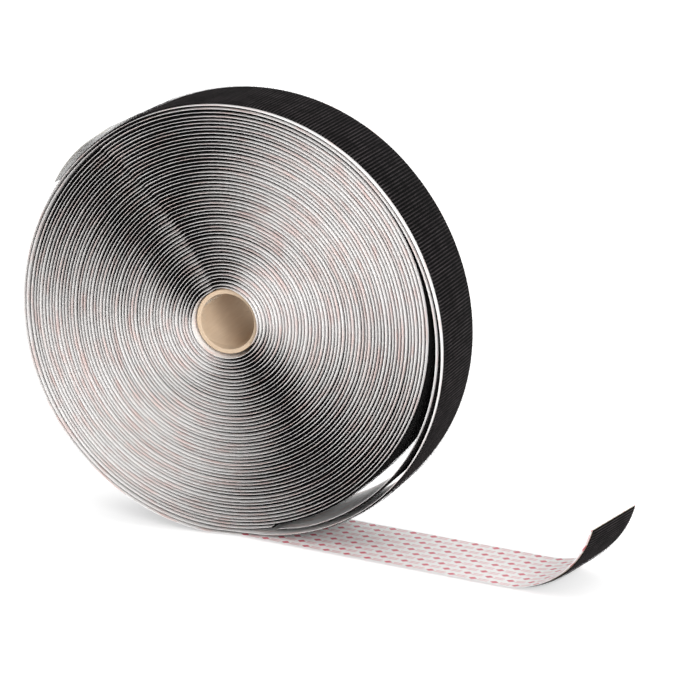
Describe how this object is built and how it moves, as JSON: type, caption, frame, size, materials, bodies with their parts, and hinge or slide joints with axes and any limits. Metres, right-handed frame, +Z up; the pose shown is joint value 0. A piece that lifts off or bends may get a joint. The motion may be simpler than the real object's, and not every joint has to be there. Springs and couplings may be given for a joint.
{
  "type": "hook and loop tape roll",
  "caption": "Wide roll of black self-adhesive hook tape with a white release liner on a cardboard core, standing on its edge with the tape's end laid out and curled up.",
  "frame": {"origin": "on the floor, under the roll's axis and at the middle of the tape's width", "axes": "+X along the floor the way the laid tape leaves the roll, +Y along the roll's axis towards the back, +Z up"},
  "size_m": [0.3624, 0.1179, 0.2506],
  "materials": {
    "hook_tape": "woven black tape with rows of small stiff moulded hooks",
    "release_liner": "smooth white coated paper, slightly glossy",
    "adhesive": "clear tacky coat",
    "wound_pack": "edges of tightly wound tape and liner",
    "core_board": "spirally wound kraft board",
    "strap_film": "clear glossy film"
  },
  "bodies": {
    "slack_turns": {"slack_hook_strip": "hook_tape", "slack_liner": "release_liner"},
    "wound_roll": {"core_tube": "core_board", "inner_turns": "wound_pack", "wound_hook_strip": "hook_tape", "wound_liner": "release_liner", "binding_strap": "strap_film"},
    "laid_tail": {"tail_hook_strip": "hook_tape", "tail_adhesive": "adhesive", "tail_liner": "release_liner"},
    "curled_end": {"end_hook_strip": "hook_tape", "end_adhesive": "adhesive", "end_liner": "release_liner"},
    "liner_tip": {"liner_tab": "release_liner"}
  },
  "joints": [
    {"name": "roll_turn", "type": "hinge", "parent": "slack_turns", "child": "wound_roll", "pos_m": [0, 0, 0.1255], "axis": [0, -1, 0], "range_deg": [0, 100]},
    {"name": "tail_payout", "type": "slide", "parent": "slack_turns", "child": "laid_tail", "axis": [0.9816, -0.1908, 0], "range_m": [0, 0.2195]},
    {"name": "end_flex", "type": "hinge", "parent": "laid_tail", "child": "curled_end", "pos_m": [0.18014, -0.03268, 0.00166], "axis": [-0.1908, -0.9816, 0], "range_deg": [0, 60]},
    {"name": "liner_peel", "type": "hinge", "parent": "curled_end", "child": "liner_tip", "pos_m": [0.21708, -0.03986, 0.01749], "axis": [-0.1908, -0.9816, 0], "range_deg": [0, 120]}
  ],
  "couplings": [
    {"joint": "tail_payout", "follows": "roll_turn", "m_per_rad": 0.1255}
  ]
}
